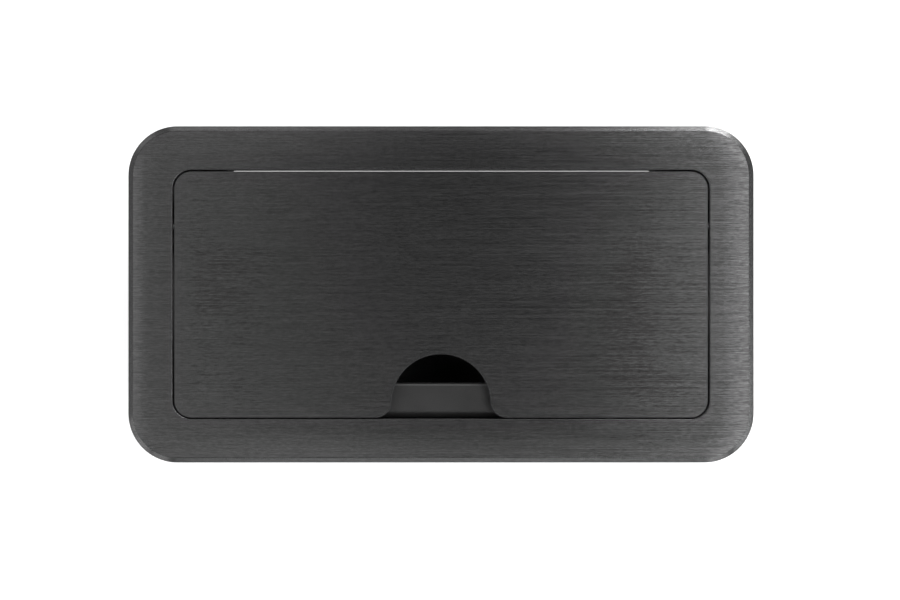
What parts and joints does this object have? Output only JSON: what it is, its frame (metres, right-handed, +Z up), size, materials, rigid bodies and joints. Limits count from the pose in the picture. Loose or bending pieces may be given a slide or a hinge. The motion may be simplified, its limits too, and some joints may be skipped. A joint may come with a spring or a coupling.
{
  "type": "cable management box",
  "caption": "Flush table-top cable box: bevelled frame, flip lid with a round cable notch, folded tub with cable outlets, sliding clamps.",
  "frame": {"origin": "centre of the frame's underside, in the plane of the table's top face", "axes": "+X to the right along the hinge, +Y to the rear (hinge side), -Y to the cable notch, +Z up out of the table"},
  "size_m": [0.28, 0.1506, 0.0812],
  "materials": {
    "black_anodised": "black anodised, long-grain brushed along X",
    "powder_black": "matte black fine-texture powder coat",
    "powder_grey": "matte dark grey fine-texture powder coat",
    "acetal_black": "machined black acetal",
    "zinc_steel": "bright zinc plated",
    "pin_steel": "ground stainless steel",
    "black_screw": "black zinc, satin",
    "thumb_steel": "nickel plated, knurled",
    "rubber_black": "matte moulded rubber"
  },
  "bodies": {
    "housing": {"top_frame": "black_anodised", "hinge_pins": "pin_steel", "stop_pins": "black_screw", "tub_shell": "powder_black", "end_plate_left": "powder_black", "end_plate_right": "powder_black", "rivets": "zinc_steel", "tub_screws": "black_screw", "front_ledge": "powder_grey", "ledge_screws": "black_screw", "lid_bumpers": "rubber_black", "lacing_bar": "powder_black", "grommet_left": "rubber_black", "grommet_right": "rubber_black", "clamp_nut_left": "zinc_steel", "clamp_nut_right": "zinc_steel"},
    "lid": {"lid_plate": "black_anodised", "hinge_lug_left": "acetal_black", "hinge_lug_right": "acetal_black", "lug_studs": "zinc_steel", "lug_nuts": "zinc_steel"},
    "clamp_left": {"clamp_bracket_left": "powder_black", "clamp_pad_left": "rubber_black"},
    "washer_left": {"clamp_washer_left": "zinc_steel"},
    "screw_left": {"thumb_screw_left": "thumb_steel"},
    "clamp_right": {"clamp_bracket_right": "powder_black", "clamp_pad_right": "rubber_black"},
    "washer_right": {"clamp_washer_right": "zinc_steel"},
    "screw_right": {"thumb_screw_right": "thumb_steel"}
  },
  "joints": [
    {"name": "lid_hinge", "type": "hinge", "parent": "housing", "child": "lid", "pos_m": [0, 0.0307, -0.0025], "axis": [-1, 0, 0], "range_deg": [0, 100]},
    {"name": "clamp_slide_left", "type": "slide", "parent": "housing", "child": "clamp_left", "axis": [0, 0, 1], "range_m": [-0.01, 0.013]},
    {"name": "washer_travel_left", "type": "slide", "parent": "housing", "child": "washer_left", "axis": [-1, 0, 0], "range_m": [0, 0.0016]},
    {"name": "thumb_screw_turn_left", "type": "hinge", "parent": "washer_left", "child": "screw_left", "pos_m": [-0.1333, 0, -0.0465], "axis": [-1, 0, 0], "range_deg": [0, 720]},
    {"name": "clamp_slide_right", "type": "slide", "parent": "housing", "child": "clamp_right", "axis": [0, 0, 1], "range_m": [-0.01, 0.013]},
    {"name": "washer_travel_right", "type": "slide", "parent": "housing", "child": "washer_right", "axis": [1, 0, 0], "range_m": [0, 0.0016]},
    {"name": "thumb_screw_turn_right", "type": "hinge", "parent": "washer_right", "child": "screw_right", "pos_m": [0.1333, 0, -0.0465], "axis": [1, 0, 0], "range_deg": [0, 720]}
  ],
  "couplings": [
    {"joint": "thumb_screw_turn_left", "follows": "washer_travel_left", "rad_per_m": 7854},
    {"joint": "thumb_screw_turn_right", "follows": "washer_travel_right", "rad_per_m": 7854}
  ]
}
